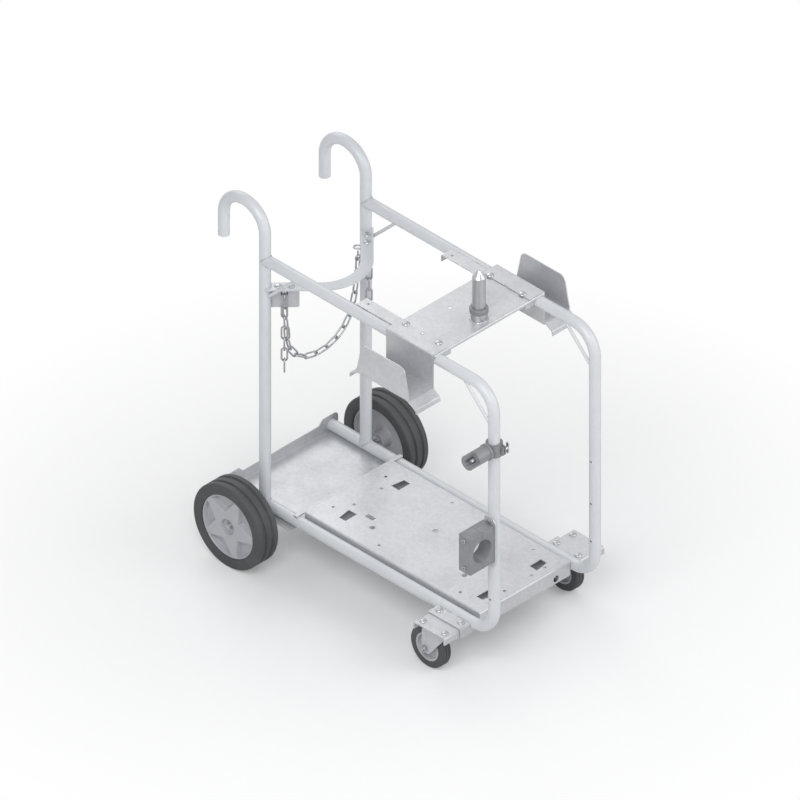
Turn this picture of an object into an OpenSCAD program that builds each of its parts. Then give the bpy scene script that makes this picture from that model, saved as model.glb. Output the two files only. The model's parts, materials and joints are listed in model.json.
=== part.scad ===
// Wire feeder trolley: a bent-tube frame on two large rear wheels and two
// swivel castors, with a bottle tray, a machine deck and a feeder pivot pin.
// X runs forwards to the castors, Y to the left side, Z up from the floor.

/* [Frame] */
// Outside diameter of the frame tube
tube_d = 32; // [30:0.5:34]
// Wall of the frame tube
tube_wall = 2; // [1.5:0.25:3]
// Centreline radius of every tube bend
bend_r = 76; // [68:1:84]
// Distance between the two side frames, centre to centre
frame_w = 372.6; // [360:1:400]
// Distance from the rear uprights to the front uprights
frame_l = 846.8; // [820:1:900]
// Height from the bottom rails to the top rails, centre to centre
frame_h = 777.6; // [740:1:820]
// Height of the bottom rails' centreline above the floor
rail_z = 152; // [150:0.5:156]
// Reach of the bottom rails behind the rear uprights
rail_back = 127; // [120:1:140]
// Height of the hook bend's centre above the top rails
hook_rise = 78.4; // [60:1:120]
// Straight drop at the open end of each hook
hook_drop = 73; // [50:1:100]
// Diameter of the corner brace rods
brace_d = 9.5; // [8:0.5:12]
// Distance of each brace end from its corner
brace_reach = 126; // [115:1:140]
// Diameter of the accessory holes in the front uprights
upright_hole_d = 6.6; // [5:0.1:8]
// Heights of the accessory holes above the bottom rails
upright_holes = [119, 239, 373];

/* [Rear wheels] */
// Outside diameter of a rear wheel
wheel_d = 250; // [240:1:260]
// Width of a rear tyre
tyre_w = 68; // [60:1:70]
// Distance between the middles of the rear tyres
wheel_track = 555; // [550:1:570]
// Distance of the axle behind the rear uprights
axle_back = 16.5; // [10:0.5:30]
// Diameter of the rear axle
axle_d = 16; // [14:0.5:18]
// Outer diameter of the rim, where the tyre sits
rim_d = 187; // [180:1:190]
// Number of spokes of the star
spokes = 5; // [4:1:6]
// Width of a spoke at the rim
spoke_w = 19; // [16:1:24]
// Depth of the pockets between the spokes
pocket_depth = 15; // [8:1:20]

/* [Castors] */
// Diameter of a castor wheel
castor_d = 125; // [120:1:127]
// Width of a castor tyre
castor_w = 30; // [26:1:34]
// Distance from the swivel axis back to the wheel axis
castor_trail = 41.5; // [36:0.5:44]
// Distance from the rear uprights forward to the swivel axis
castor_fwd = 714.5; // [690:0.5:730]
// Distance of the swivel axis outside the side frame
castor_out = 60; // [58:1:64]
// Length of the castor top plate
plate_l = 105; // [102:1:106]
// Width of the castor top plate
plate_w = 85; // [84:1:88]
// Bolt spacing of the castor plate along the trolley
plate_bolt_x = 80; // [76:1:82]
// Bolt spacing of the castor plate across the trolley
plate_bolt_y = 60; // [56:1:62]
// Thickness of the castor brackets
bracket_t = 4; // [3:0.5:5]

/* [Tray and deck] */
// Thickness of the tray and deck sheet
sheet_t = 2.5; // [2:0.25:3]
// Gap between the bottle tray and each rear wheel's inner washer
tray_gap = 26.7; // [18:0.1:30]
// Front edge of the bottle tray, from the rear uprights
tray_front = 122; // [110:1:124]
// Height of the tray's rear flange above the bottom rails
tray_flange = 15; // [10:1:20]
// Height of the tray's ears above the bottom rails
tray_ear = 30; // [26:1:36]
// Length of the machine deck
deck_l = 647.5; // [600:0.5:650]
// Height of the deck's top above the bottom rails
deck_rise = 21.5; // [20:0.5:26]
// Gap between the deck and each bottom rail
deck_gap = 3.8; // [2:0.2:8]
// Depth of the deck's side flanges
deck_side = 22; // [18:1:30]
// Depth of the deck's front flange
deck_front = 45; // [36:1:50]
// Diameter of the deck's small fixing holes
deck_hole_d = 9; // [6:0.5:12]
// Diameter of the deck's large holes
deck_port_d = 16; // [12:1:20]

/* [Top fittings] */
// Rear end of the rail strips, from the rear uprights
strip_rear = 325; // [300:1:350]
// Rear end of the bridge plate, from the rear uprights
bridge_rear = 467; // [460:1:470]
// Front end of the bridge plate and the rail strips
bridge_front = 640; // [636:1:660]
// Thickness of the bridge plate, holders and strips
fitting_t = 3; // [2.5:0.25:4]
// Reach of the strips and holder flanges inside the side frame
strip_in = 48; // [46:1:60]
// Height of the holder's side face
holder_drop = 103; // [90:1:115]
// Reach of the holder's shelf outside the side frame
holder_out = 111; // [100:1:120]
// Height of the holder's upright wing
wing_h = 97; // [80:1:110]
// Diameter of the feeder pivot pin
pin_d = 36; // [30:0.5:40]
// Height of the feeder pivot pin above the bridge plate
pin_h = 155; // [140:1:170]
// Diameter of the welded boss below the collar
boss_d = 46; // [42:1:56]
// Height of the welded boss
boss_h = 22; // [16:1:26]
// Diameter of the collar that the feeder turns on
collar_d = 50.6; // [48:0.1:60]
// Height of the collar
collar_h = 16; // [12:1:20]

/* [Bottle cradle] */
// Distance of the cradle's straight ends outside the uprights' 45 degree line
cradle_end = 3.3; // [0:0.1:6]
// Width of the cradle's flat strip
cradle_w = 34; // [32:1:38]
// Thickness of the cradle's flat strip
cradle_t = 4.5; // [4:0.5:6]
// Height of the cradle's top above the bottom rails
cradle_rise = 693.5; // [660:0.5:710]
// Distance of the cradle's centre in front of the rear uprights
cradle_fwd = 17; // [14:1:20]
// Depth of the brackets under the cradle's ends
cradle_leg = 77; // [60:1:80]
// Diameter of the chain's wire
link_d = 5; // [4:0.25:5.5]
// Inside length of a chain link
link_in = 35; // [33:0.5:36]
// Outside width of a chain link
link_w = 20; // [18:0.5:21]

/* [Cable clamp and torch rest] */
// Diameter of the cable hole in the clamp
cable_d = 68; // [50:1:72]
// Length of the clamp block along the cable
clamp_l = 43; // [36:1:50]
// Height of the clamp block
clamp_h = 116; // [110:1:118]
// Reach of the clamp block outside its back plate
clamp_w = 89; // [84:1:96]
// Outer diameter of the torch rest's ring
ring_d = 46; // [44:1:56]
// Height of the torch rest's ring
ring_h = 38; // [30:1:44]
// Height of the torch rest above the bottom rails
rest_rise = 597.5; // [560:0.5:640]
// Reach of the torch rest's arm outside the front upright
rest_reach = 100; // [90:1:130]
// Diameter of the flange on the torch rest's arm
knob_d = 46.6; // [44:0.2:56]

/* [Hidden] */

tube_r = tube_d / 2;
side_y = frame_w / 2;
top_z = rail_z + frame_h;
hook_z = top_z + hook_rise;
seam = 0.2;
fit_gap = 0.3;
run_gap = 0.08;
swivel_gap = 0.4;
clamp_front = frame_l + 23;
ring_ear = 14;
mid_x = (max(clamp_front + 3, frame_l + tube_r + ring_ear) - 2 * bend_r - tube_r) / 2;
fine = 64;
medium = 40;

steel = "gainsboro";
zinc = "silver";
black = "dimgray";

// The trolley's own frame stands centred over its footprint
module place() translate([-mid_x, 0, 0]) children();
module right_side() translate([0, -side_y, 0]) children();
module left_side() mirror([0, 1, 0]) right_side() children();
module both_sides() { right_side() children(); left_side() children(); }

// Plane helpers: XZ shapes extruded along Y, and YZ shapes extruded along X
module across(y0, y1) translate([0, y1, 0]) rotate([90, 0, 0]) linear_extrude(y1 - y0) children();
module along(x0, x1) translate([x0, 0, 0]) rotate([90, 0, 90]) linear_extrude(x1 - x0) children();
module rod_x(x0, x1, r) translate([x0, 0, 0]) rotate([0, 90, 0]) cylinder(r = r, h = x1 - x0, $fn = fine);
module rod_y(y0, y1, r) translate([0, y0, 0]) rotate([-90, 0, 0]) cylinder(r = r, h = y1 - y0, $fn = fine);
module rod_z(z0, z1, r) translate([0, 0, z0]) cylinder(r = r, h = z1 - z0, $fn = fine);

function unit(v) = v / norm(v);
function flip(list) = [for (i = [len(list) - 1:-1:0]) list[i]];
function arc_points(c, r, a0, a1, n) = [for (i = [0:n]) c + r * [cos(a0 + (a1 - a0) * i / n), sin(a0 + (a1 - a0) * i / n)]];
function turn_of(a0, a1) = let (t = a1 - a0) t > 180 ? t - 360 : (t < -180 ? t + 360 : t);

// The arc that rounds corner b between a and c with radius r
function corner_arc(a, b, c, r, n) =
    let (u = unit(a - b), w = unit(c - b), half = acos(u * w) / 2)
    let (centre = b + unit(u + w) * r / sin(half), d = r / tan(half))
    let (p = b + u * d - centre, q = b + w * d - centre)
    let (a0 = atan2(p.y, p.x), turn = turn_of(atan2(p.y, p.x), atan2(q.y, q.x)))
    arc_points(centre, r, a0, a0 + turn, n);

// A closed outline whose points are [x, y, corner radius]
function rounded(pts, n = 5) = let (m = len(pts)) [
    for (i = [0:m - 1]) let (a = pts[(i + m - 1) % m], b = pts[i], c = pts[(i + 1) % m])
    each b.z == 0 ? [[b.x, b.y]] : corner_arc([a.x, a.y], [b.x, b.y], [c.x, c.y], b.z, n)
];

// A bent strip of sheet: its path is rounded at each bend and given a thickness to its left
function bent_path(pts, r, n) = let (m = len(pts)) [
    for (i = [0:m - 1]) each (i == 0 || i == m - 1) ? [pts[i]] : corner_arc(pts[i - 1], pts[i], pts[i + 1], r, n)
];
function left_of(a, b) = let (d = unit(b - a)) [-d.y, d.x];
function shifted(path, t) = let (m = len(path)) [
    for (i = [0:m - 1])
    let (n0 = i == 0 ? left_of(path[0], path[1]) : left_of(path[i - 1], path[i]))
    let (n1 = i == m - 1 ? n0 : left_of(path[i], path[i + 1]), s = unit(n0 + n1))
    path[i] + s * t / (s * n1)
];
module bent_sheet(pts, t, r, n = 4) {
    path = bent_path(pts, r, n);
    polygon(concat(path, flip(shifted(path, t))));
}

// Tube pieces
module tube_ring(r = tube_r) difference() { circle(r, $fn = fine); circle(r - tube_wall, $fn = fine); }
module tube_x(x0, x1) translate([x0, 0, 0]) rotate([0, 90, 0]) linear_extrude(x1 - x0) tube_ring();
module tube_z(z0, z1) translate([0, 0, z0]) linear_extrude(z1 - z0) tube_ring();
module tube_bend(from, turn)
    rotate([90, 0, 0]) rotate([0, 0, from]) rotate_extrude(angle = turn, $fn = fine) translate([bend_r, 0]) tube_ring();
module upright_hole(z) translate([frame_l, 0, z]) rod_y(-tube_d, tube_d, upright_hole_d / 2);

// One tube makes the top rail, the front upright and the bottom rail
module side_tube() {
    difference() {
        union() {
            translate([0, 0, top_z]) tube_x(0, frame_l - bend_r);
            translate([frame_l - bend_r, 0, top_z - bend_r]) tube_bend(0, 90);
            translate([frame_l, 0, 0]) tube_z(rail_z + bend_r, top_z - bend_r);
            translate([frame_l - bend_r, 0, rail_z + bend_r]) tube_bend(-90, 90);
            translate([0, 0, rail_z]) tube_x(-rail_back, frame_l - bend_r);
        }
        rod_z(top_z - tube_d, top_z + tube_d, tube_r + seam);
        for (z = upright_holes) upright_hole(rail_z + z);
    }
}
module side_tube_right() color(steel) place() right_side() side_tube();
module side_tube_left() color(steel) place() left_side() side_tube();

module rear_upright() {
    difference() {
        union() {
            tube_z(rail_z, hook_z);
            translate([-bend_r, 0, hook_z]) tube_bend(0, 180);
            translate([-2 * bend_r, 0, 0]) tube_z(hook_z - hook_drop, hook_z);
        }
        translate([0, 0, rail_z]) rod_x(-tube_d, tube_d, tube_r + seam);
    }
}
module rear_upright_right() color(steel) place() right_side() rear_upright();
module rear_upright_left() color(steel) place() left_side() rear_upright();

// A rod at 45 degrees across a corner of the side frame; dir is 1 for the rear corner
module corner_brace(x, dir) {
    difference() {
        translate([x, 0, top_z - brace_reach]) rotate([0, 45 * dir, 0])
            rod_z(0, brace_reach * sqrt(2), brace_d / 2);
        translate([x, 0, 0]) rod_z(top_z - 2 * brace_reach, top_z, tube_r + seam);
        translate([0, 0, top_z]) rod_x(0, frame_l, tube_r + seam);
    }
}
module corner_braces() color(steel) place() both_sides() {
    corner_brace(0, 1);
    corner_brace(frame_l, -1);
}

// Bottle tray: a sheet under the rails with a rear flange and an ear behind each rail
tray_top = rail_z - tube_r - seam;
tray_rear = -rail_back - seam - sheet_t;
ear_out = 25;
ear_in = 31;
ear_slope = 15;
ear_r = 14;
module tray_flange_outline() {
    y_out = side_y + ear_out;
    y_top = side_y - ear_in;
    y_low = y_top - ear_slope;
    z_low = tray_top - sheet_t;
    z_flange = rail_z + tray_flange;
    z_ear = rail_z + tray_ear;
    half = [[y_low, z_flange, 3], [y_top, z_ear, 3], [y_out, z_ear, ear_r], [y_out, z_low, 0]];
    polygon(rounded(concat(half, [for (p = flip(half)) [-p.x, p.y, p.z]])));
}
module bottle_tray() color(zinc) place() {
    translate([tray_rear, -tray_half_w, tray_top - sheet_t]) cube([tray_front - tray_rear, 2 * tray_half_w, sheet_t]);
    along(tray_rear, tray_rear + sheet_t) tray_flange_outline();
}

// Machine deck: a pan with side flanges and a deep front flange
deck_x0 = tray_front + 5;
deck_x1 = deck_x0 + deck_l;
deck_top = rail_z + deck_rise;
deck_half = side_y - tube_r - deck_gap;
bend_in = 3;
// Places of the deck's holes, from the deck's rear edge and its middle; each is mirrored
deck_holes = [[35.5, 97], [66, 50.5], [243, 135], [544, 135], [621, 50], [621, 99]];
deck_ports = [[174, -91], [301, 15], [497, -73]];
foot_rear = [[73.7, 77.6], [80.3, 120], [103.4, 119.5], [103, 77.4]];
foot_front = [[587, 76.6], [586, 119], [609, 118.3], [616, 75.2]];
deck_slot = [[123, -69], [152, -54.5]];
lug_y = 115;
lug_drop = 31;
lug_d = 20;
module deck_cut(pts) translate([deck_x0, 0, deck_top - 2 * sheet_t]) linear_extrude(3 * sheet_t) polygon(pts);
module deck() color(zinc) place() difference() {
    union() {
        along(deck_x0, deck_x1 - sheet_t) bent_sheet([
            [-deck_half, deck_top - deck_side], [-deck_half, deck_top],
            [deck_half, deck_top], [deck_half, deck_top - deck_side]
        ], -sheet_t, bend_in + sheet_t);
        across(-deck_half, deck_half) bent_sheet([
            [deck_x1 - deck_side, deck_top], [deck_x1, deck_top], [deck_x1, deck_top - deck_front]
        ], -sheet_t, bend_in + sheet_t);
    }
    for (h = deck_holes, s = [-1, 1])
        translate([deck_x0 + h.x, s * h.y, 0]) rod_z(rail_z, deck_top + 1, deck_hole_d / 2);
    for (h = deck_ports) translate([deck_x0 + h.x, h.y, 0]) rod_z(rail_z, deck_top + 1, deck_port_d / 2);
    deck_cut(foot_rear);
    deck_cut(foot_front);
    mirror([0, 1, 0]) { deck_cut(foot_rear); deck_cut(foot_front); }
    translate([deck_x0 + deck_slot[0].x, deck_slot[0].y, deck_top - 2 * sheet_t])
        cube([deck_slot[1].x - deck_slot[0].x, deck_slot[1].y - deck_slot[0].y, 3 * sheet_t]);
    for (s = [-1, 1]) translate([0, s * lug_y, deck_top - lug_drop])
        rod_x(deck_x1 - 2 * sheet_t, deck_x1 + 1, lug_d / 2);
}

// A flat bar across both rails closes the step between the deck and the tray
stop_w = 11;
stop_t = 5;
stop_over = 10;
module deck_stop_bar() color(zinc) place()
    translate([deck_x0 - seam - stop_w, -side_y - stop_over, rail_z + tube_r + seam])
        cube([stop_w, frame_w + 2 * stop_over, stop_t]);

// Flat bars between the rails carry the deck's side flanges
bearer_w = 40;
bearer_t = 5;
bearer_inset = 75;
module deck_bearer(x) {
    top = deck_top - deck_side - seam;
    difference() {
        translate([x - bearer_w / 2, -side_y, top - bearer_t]) cube([bearer_w, frame_w, bearer_t]);
        for (s = [-1, 1]) translate([0, s * side_y, rail_z]) rod_x(0, frame_l, tube_r + seam);
    }
}
module deck_bearers() color(zinc) place() {
    deck_bearer(deck_x0 + bearer_inset);
    deck_bearer(deck_x1 - bearer_inset);
}

// Rear axle under the tray, its washers and its clips
wheel_r = wheel_d / 2;
wheel_y = wheel_track / 2;
hub_out = 23;
hub_in = -32;
washer_t = 2.5;
washer_r = 14.6;
axle_end = wheel_y + hub_out + washer_t + 5;
tray_half_w = wheel_y + hub_in - fit_gap - washer_t - tray_gap;
module axle_place() translate([-axle_back, 0, wheel_r]) children();
module axle() color(zinc) place() axle_place() intersection() {
    rod_y(-axle_end, axle_end, axle_d / 2);
    translate([-axle_d, -axle_end, -axle_d])
        cube([2 * axle_d, 2 * axle_end, axle_d + tray_top - sheet_t - seam - wheel_r]);
}
module washer(y, r, t) difference() {
    rod_y(y, y + t, r);
    rod_y(y - 1, y + t + 1, axle_d / 2 + fit_gap / 2);
}
module axle_washers() color(zinc) place() axle_place() {
    for (s = [0, 1]) mirror([0, s, 0]) {
        washer(wheel_y + hub_out + fit_gap, washer_r, washer_t);
        washer(wheel_y + hub_in - fit_gap - washer_t, washer_r, washer_t);
    }
}
clip_t = 2;
clip_r = 11;
module axle_clips() color(zinc) place() axle_place()
    for (s = [0, 1]) mirror([0, s, 0]) washer(wheel_y + hub_out + washer_t + 2 * fit_gap, clip_r, clip_t);

// Rear wheel, made on the Y axis with its outer face towards -Y
module turned() rotate([90, 0, 0]) rotate_extrude($fn = 96) children();
groove_w = 11;
groove_deep = 4.5;
rib_pitch = 26;
function groove(y, r) = [[r, y - groove_w / 2], [r - groove_deep, y - groove_w / 4],
    [r - groove_deep, y + groove_w / 4], [r, y + groove_w / 2]];
shoulder_r = 5;
module tyre_profile() {
    w = tyre_w / 2;
    r = wheel_r;
    lip = rim_d / 2;
    bead = corner_arc([lip, -w + 3], [lip, -w], [r, -w], 3, 2);
    shoulder = corner_arc([lip, -w], [r, -w], [r, 0], shoulder_r, 5);
    side = concat(bead, shoulder, groove(-rib_pitch / 2, r));
    polygon(concat(side, [for (p = flip(side)) [p.x, -p.y]]));
}
recess_r = 21;
recess_deep = 8;
boss_r = 24;
rim_wall = 5;
star_face = hub_out + recess_deep;
module rim_profile() {
    bore = axle_d / 2 + run_gap;
    edge = rim_d / 2;
    polygon([
        [bore, hub_out], [recess_r, hub_out], [recess_r + 1, star_face], [edge - 2, star_face],
        [edge, star_face - 2], [edge, -26], [edge - rim_wall, -26],
        [edge - rim_wall - 4, -14], [58, -4], [boss_r + 3, -4], [boss_r, -8], [boss_r, hub_in], [bore, hub_in]
    ]);
}
// The pocket between two spokes: its root faces the hub and its wide end the rim
star_turn = 33;
pocket_root = 45;
pocket_root_w = 13;
module star_pocket(shrink = 0) {
    far = rim_d / 2 - rim_wall + 1 - shrink;
    half = 180 / spokes - asin((spoke_w / 2 + shrink) / far);
    mid = arc_points([0, 0], far, -half, half, 8);
    polygon(concat(mid, [[pocket_root + shrink, pocket_root_w / 2 - shrink], [pocket_root + shrink, shrink - pocket_root_w / 2]]));
}
module rear_rim() difference() {
    turned() rim_profile();
    for (i = [0:spokes - 1]) rotate([90, -star_turn - 360 * i / spokes, 0]) {
        translate([0, 0, star_face - pocket_depth]) linear_extrude(pocket_depth + 10) star_pocket(2);
        translate([0, 0, star_face - pocket_depth / 3]) linear_extrude(pocket_depth + 10) star_pocket();
    }
}
module rear_tyre() turned() tyre_profile();
module wheel_right() translate([-axle_back, -wheel_y, wheel_r]) children();
module wheel_left() mirror([0, 1, 0]) wheel_right() children();
module rear_tyre_right() color(black) place() wheel_right() rear_tyre();
module rear_rim_right() color(steel) place() wheel_right() rear_rim();
module rear_tyre_left() color(black) place() wheel_left() rear_tyre();
module rear_rim_left() color(steel) place() wheel_left() rear_rim();

// Fasteners: a dome-headed carriage bolt whose head sits on z = 0, and its nut
bolt_d = 8;
head_r = 10.3;
head_h = 4.8;
nut_af = 13;
nut_h = 6.5;
module dome_bolt(l) {
    rotate_extrude($fn = medium)
        polygon(concat([[0, 0]], [for (a = [0:15:90]) [head_r * cos(a), head_h * sin(a)]]));
    rod_z(-l, 0.1, bolt_d / 2);
}
module nut(z) difference() {
    translate([0, 0, z - nut_h]) cylinder(d = nut_af / cos(30), h = nut_h, $fn = 6);
    rod_z(z - nut_h - 1, z + 1, bolt_d / 2 + fit_gap / 2);
}
module bolt_hole(z0, z1) rod_z(z0, z1, bolt_d / 2 + 0.5);

// Castor bracket: a top sheet with a flange at each end, and a strip over its inner part
castor_top = rail_z - bracket_t / 2;
bracket_top = castor_top + bracket_t;
strip_top = bracket_top + bracket_t;
bracket_half = plate_l / 2 + 1;
bracket_out = castor_out + plate_w / 2 + 6.5;
bracket_flange = 22;
strip_flange = 29;
strip_out = 53.5;
module castor_place() translate([castor_fwd, -castor_out, 0]) children();
module plate_bolts() for (sx = [-1, 1], sy = [-1, 1])
    translate([sx * plate_bolt_x / 2, sy * plate_bolt_y / 2, 0]) children();
function rail_edge(z) = sqrt(pow(tube_r + seam, 2) - pow(z - rail_z, 2));
module castor_bracket() {
    x1 = bracket_half + bracket_t;
    difference() {
        translate([castor_fwd, 0, 0]) across(-bracket_out, -tube_r / 2) bent_sheet([
            [-x1, bracket_top - bracket_flange], [-x1, bracket_top],
            [x1, bracket_top], [x1, bracket_top - bracket_flange]
        ], -bracket_t, bracket_t + 2);
        translate([0, 0, rail_z]) rod_x(0, frame_l, tube_r + seam);
        castor_place() plate_bolts() bolt_hole(castor_top - 1, bracket_top + 1);
    }
}
module castor_strip() {
    x1 = bracket_half + bracket_t;
    difference() {
        translate([castor_fwd, 0, 0]) across(-strip_out, -tube_r / 2) bent_sheet([
            [-x1 - 2, strip_top], [x1 + bracket_t + seam, strip_top],
            [x1 + bracket_t + seam, strip_top - strip_flange]
        ], -bracket_t + seam, bracket_t + 2);
        translate([0, 0, rail_z]) rod_x(0, frame_l, tube_r + seam);
        castor_place() plate_bolts() bolt_hole(bracket_top - 1, strip_top + 1);
    }
}
module castor_bracket_right() color(zinc) place() right_side() castor_bracket();
module castor_bracket_left() color(zinc) place() left_side() castor_bracket();
module castor_strips() color(zinc) place() both_sides() castor_strip();

// Castor top plate with its upper race, and the kingpin that holds the fork
castor_plate_t = 3;
race_r = 27;
race_t = 5;
crown_t = 3;
crown_z = castor_top - seam - castor_plate_t - race_t - swivel_gap;
pin_r = 6;
module castor_plate() castor_place() {
    z1 = castor_top - seam;
    difference() {
        union() {
            translate([-plate_l / 2, -plate_w / 2, z1 - castor_plate_t]) cube([plate_l, plate_w, castor_plate_t]);
            rod_z(z1 - castor_plate_t - race_t, z1 - 0.1, race_r);
        }
        plate_bolts() bolt_hole(crown_z, z1 + 1);
        rod_z(crown_z - 1, z1 + 1, pin_r);
    }
}
module castor_plate_right() color(zinc) place() right_side() castor_plate();
module castor_plate_left() color(zinc) place() left_side() castor_plate();
module kingpins() color(zinc) place() both_sides() castor_place() {
    rod_z(crown_z - crown_t - 1, castor_top - seam, pin_r);
    rod_z(crown_z - crown_t - swivel_gap - 3, crown_z - crown_t - swivel_gap, pin_r + 4);
}
// Castor bolts: the inner pair stands on the strip, the outer pair on the bracket
module castor_bolts() color(zinc) place() both_sides() castor_place() for (sx = [-1, 1]) {
    translate([sx * plate_bolt_x / 2, plate_bolt_y / 2, strip_top + seam]) dome_bolt(22);
    translate([sx * plate_bolt_x / 2, -plate_bolt_y / 2, bracket_top + seam]) dome_bolt(18);
}

// Castor fork: a crown with two tapered legs, turning on the kingpin
leg_t = 3;
leg_y = castor_w / 2 + 4;
castor_r = castor_d / 2;
crown_back = 26;
crown_front = 24;
fork_nose = 23.5;
axle_bolt_r = 5;
module fork_leg_outline() {
    ax = -castor_trail;
    polygon(rounded([
        [-crown_back, crown_z, 0], [ax - 12, castor_r + 57, 8], [ax - 12, castor_r - 12, 10],
        [ax + 13, castor_r - 14, 8], [fork_nose, castor_r + 52, 6], [crown_front, crown_z, 0]
    ]));
}
module castor_fork() castor_place() difference() {
    union() {
        translate([-crown_back, -leg_y - leg_t, crown_z - crown_t])
            cube([crown_back + crown_front, 2 * (leg_y + leg_t), crown_t]);
        across(-leg_y - leg_t, -leg_y) fork_leg_outline();
        across(leg_y, leg_y + leg_t) fork_leg_outline();
    }
    rod_z(crown_z - crown_t - 1, crown_z + 1, pin_r + run_gap);
    translate([-castor_trail, 0, castor_r]) rod_y(-leg_y * 2, leg_y * 2, axle_bolt_r + fit_gap / 2);
}
module castor_hub_place() castor_place() translate([-castor_trail, 0, castor_r]) children();
module castor_axle() castor_hub_place() {
    rod_y(-leg_y - leg_t - 14, leg_y + leg_t + 0.1, axle_bolt_r);
    difference() {
        rotate([90, 0, 0]) translate([0, 0, leg_y + leg_t + seam]) cylinder(r = 10, h = 8, $fn = 6);
        rod_y(-leg_y * 3, 0, axle_bolt_r - 0.05);
    }
    rotate([-90, 0, 0]) translate([0, 0, leg_y + leg_t + seam / 2]) cylinder(r = 9.5, h = 6, $fn = 6);
}
tread_groove = 1.6;
module castor_tyre_profile() {
    w = castor_w / 2;
    r = castor_r;
    lip = r - 21;
    edge = corner_arc([lip, -w], [r, -w], [r, 0], 6, 4);
    g = w / 3;
    side = concat([[lip, -w]], edge, [[r, -g - 1], [r - tread_groove, -g - 0.6], [r - tread_groove, -g + 0.6], [r, -g + 1]]);
    polygon(concat(side, [for (p = flip(side)) [p.x, -p.y]]));
}
module castor_hub_profile() {
    w = castor_w / 2;
    edge = castor_r - 21;
    bore = axle_bolt_r + run_gap;
    half = [[bore, leg_y - 0.5], [bore + 6, leg_y - 0.5], [bore + 8, 6], [edge - 8, 5], [edge - 5, w - 1], [edge, w - 1]];
    polygon(concat(half, [for (p = flip(half)) [p.x, -p.y]]));
}
module castor_fork_right() color(zinc) place() right_side() castor_fork();
module castor_fork_left() color(zinc) place() left_side() castor_fork();
module castor_axle_right() color(zinc) place() right_side() castor_axle();
module castor_axle_left() color(zinc) place() left_side() castor_axle();
module castor_tyre_right() color(black) place() right_side() castor_hub_place() turned() castor_tyre_profile();
module castor_tyre_left() color(black) place() left_side() castor_hub_place() turned() castor_tyre_profile();
module castor_hub_right() color(steel) place() right_side() castor_hub_place() turned() castor_hub_profile();
module castor_hub_left() color(steel) place() left_side() castor_hub_place() turned() castor_hub_profile();

// Rail strips inside each top rail, flush with the tube's crown
crown_top = top_z + tube_r;
strip_bend = 22;
strip_edge = sqrt(pow(tube_r + seam, 2) - pow(tube_r - fitting_t, 2));
bolt_x = [bridge_rear + 23, bridge_front - 30];
bolt_in = 31;
strip_hole_x = strip_rear + 25;
screw_x = (bolt_x[0] + bolt_x[1]) / 2;
screw_d = 5;
module rail_clearance() for (s = [-1, 1]) translate([0, s * side_y, top_z]) rod_x(0, frame_l, tube_r + seam / 2);
module rail_strip() difference() {
    across(strip_edge, strip_in) bent_sheet([
        [strip_rear, crown_top - strip_bend], [strip_rear, crown_top],
        [bridge_front - 1, crown_top], [bridge_front - 1, crown_top - strip_bend]
    ], -fitting_t, fitting_t + 2);
    for (x = bolt_x) translate([x, bolt_in, 0]) bolt_hole(crown_top - 10, crown_top + 1);
    translate([strip_hole_x, bolt_in, 0]) bolt_hole(crown_top - 10, crown_top + 1);
    translate([screw_x, bolt_in, 0]) rod_z(crown_top - 10, crown_top + 1, screw_d / 2 + fit_gap / 2);
    translate([0, side_y, 0]) rail_clearance();
}
module rail_strips() color(zinc) place() both_sides() rail_strip();

// Bridge plate across both rails, with a small lip at its front edge
bridge_z = crown_top + seam;
bridge_over = tube_r;
port_x = bridge_rear + 48;
port_y = -18;
pin_x = bridge_front - 36;
module bridge_plate() color(zinc) place() difference() {
    across(-side_y - bridge_over, side_y + bridge_over) bent_sheet([
        [bridge_rear, bridge_z + fitting_t], [bridge_front + fitting_t, bridge_z + fitting_t],
        [bridge_front + fitting_t, bridge_z - 6]
    ], -fitting_t, fitting_t + 1);
    for (s = [-1, 1], x = bolt_x) translate([x, s * (side_y - bolt_in), 0]) bolt_hole(crown_top, crown_top + 10);
    for (s = [-1, 1]) translate([screw_x, s * (side_y - bolt_in), 0])
        rod_z(crown_top, crown_top + 10, screw_d / 2 + fit_gap / 2);
    translate([port_x, port_y, 0]) rod_z(crown_top, crown_top + 10, 6);
    rail_clearance();
}

// Feeder pivot: a welded boss, a loose collar above it and a pin with a cone end
pivot_z = bridge_z + fitting_t + seam;
cone_h = 22;
tip_r = 3.5;
seat_r = pin_d / 2 - 0.5;
shaft_z = boss_h + collar_h + 2 * seam;
module pivot_place() translate([pin_x, 0, pivot_z]) children();
module pivot_boss() color(zinc) place() pivot_place() difference() {
    rod_z(0, boss_h, boss_d / 2);
    rod_z(-1, boss_h + 1, seat_r + seam);
}
module pivot_collar() color(black) place() pivot_place() difference() {
    translate([0, 0, boss_h + seam]) rotate_extrude($fn = fine) polygon(rounded([
        [seat_r - 2, 0, 0], [collar_d / 2, 0, 1.5], [collar_d / 2, collar_h, 4], [seat_r - 2, collar_h, 0]
    ]));
    rod_z(0, pin_h, seat_r + run_gap);
}
module feeder_pin() color(zinc) place() pivot_place() union() {
    rod_z(0, shaft_z + 0.1, seat_r);
    rod_z(shaft_z, pin_h - cone_h, pin_d / 2);
    translate([0, 0, pin_h - cone_h]) rotate_extrude($fn = fine) polygon(concat(
        [[0, 0], [pin_d / 2, 0]],
        arc_points([0, cone_h - tip_r], tip_r, 35, 90, 4)
    ));
}

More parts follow.
